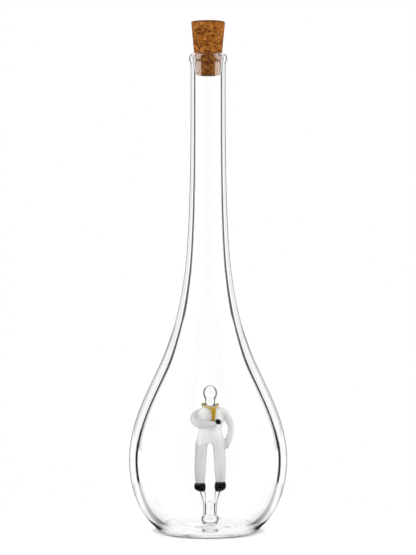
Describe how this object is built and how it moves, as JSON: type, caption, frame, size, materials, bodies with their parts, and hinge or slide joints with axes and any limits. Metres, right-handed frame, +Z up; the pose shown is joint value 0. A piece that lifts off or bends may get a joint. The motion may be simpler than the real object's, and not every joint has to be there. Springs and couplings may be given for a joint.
{
  "type": "figural glass bottle",
  "caption": "Tall clear glass teardrop bottle with a long neck and cork stopper, holding a small lampworked glass figure that stands on its floor.",
  "frame": {"origin": "centre of the base, on the surface that the bottle stands on", "axes": "+Z up along the bottle's axis, -Y towards the viewer, where the figure faces, +X to the viewer's right"},
  "size_m": [0.095, 0.095, 0.3052],
  "materials": {
    "clear_glass": "clear, fire polished",
    "white_glass": "milky translucent, glossy",
    "amber_glass": "translucent, glossy",
    "black_glass": "opaque, glossy",
    "cork": "agglomerated cork with dark grains"
  },
  "bodies": {
    "bottle": {"bottle_body": "clear_glass", "bottle_base": "clear_glass", "pedestal_foot": "clear_glass", "pedestal_stem": "clear_glass", "ankle_right": "clear_glass", "ankle_left": "clear_glass", "shoe_right": "black_glass", "shoe_left": "black_glass", "leg_right": "white_glass", "leg_left": "white_glass", "torso": "white_glass", "arm_right": "white_glass", "arm_left": "white_glass", "head": "clear_glass", "collar_cord": "amber_glass", "necktie": "amber_glass", "hand_bead": "black_glass"},
    "cork": {"cork_stopper": "cork"}
  },
  "joints": [
    {"name": "cork_pull", "type": "slide", "parent": "bottle", "child": "cork", "axis": [0, 0, 1], "range_m": [0, 0.05]}
  ]
}
